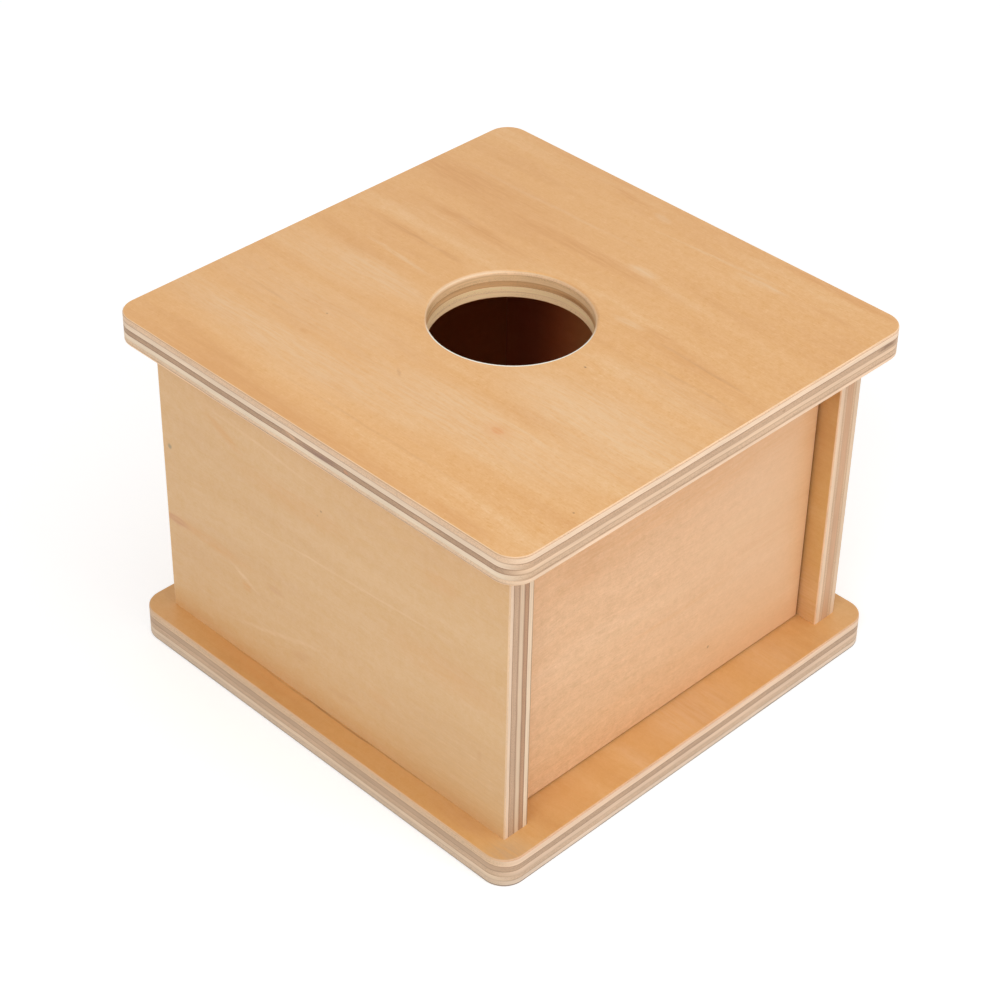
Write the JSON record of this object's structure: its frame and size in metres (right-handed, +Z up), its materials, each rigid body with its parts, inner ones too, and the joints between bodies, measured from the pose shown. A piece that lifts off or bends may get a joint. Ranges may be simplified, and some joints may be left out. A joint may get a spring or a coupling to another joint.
{
  "type": "object permanence box",
  "caption": "Plywood drop box for a ball: round hole in an overhanging top board, recessed top-hung flap in front, overhanging base board.",
  "frame": {"origin": "middle of the underside of the base board, on the surface that the box stands on", "axes": "+Z up, the flap faces -Y, +X to the right as seen by someone who faces the flap"},
  "size_m": [0.155, 0.157, 0.114],
  "materials": {
    "top_plywood": "satin clear lacquer",
    "base_plywood": "satin clear lacquer",
    "wall_plywood": "satin clear lacquer",
    "back_plywood": "satin clear lacquer",
    "flap_plywood": "satin clear lacquer",
    "dowel_wood": "bare turned beech",
    "pin_steel": "ground",
    "screw_steel": "yellow passivated zinc"
  },
  "bodies": {
    "case": {"top_board": "top_plywood", "base_board": "base_plywood", "left_wall": "wall_plywood", "right_wall": "wall_plywood", "back_wall": "back_plywood", "left_top_dowels": "dowel_wood", "right_top_dowels": "dowel_wood", "back_top_dowels": "dowel_wood", "left_corner_dowels": "dowel_wood", "right_corner_dowels": "dowel_wood", "left_base_screws": "screw_steel", "right_base_screws": "screw_steel", "back_base_screws": "screw_steel"},
    "flap": {"front_flap": "flap_plywood", "left_pivot_pin": "pin_steel", "right_pivot_pin": "pin_steel"}
  },
  "joints": [
    {"name": "flap_swing", "type": "hinge", "parent": "case", "child": "flap", "pos_m": [0, -0.059, 0.099], "axis": [1, 0, 0], "range_deg": [-90, 90]}
  ]
}
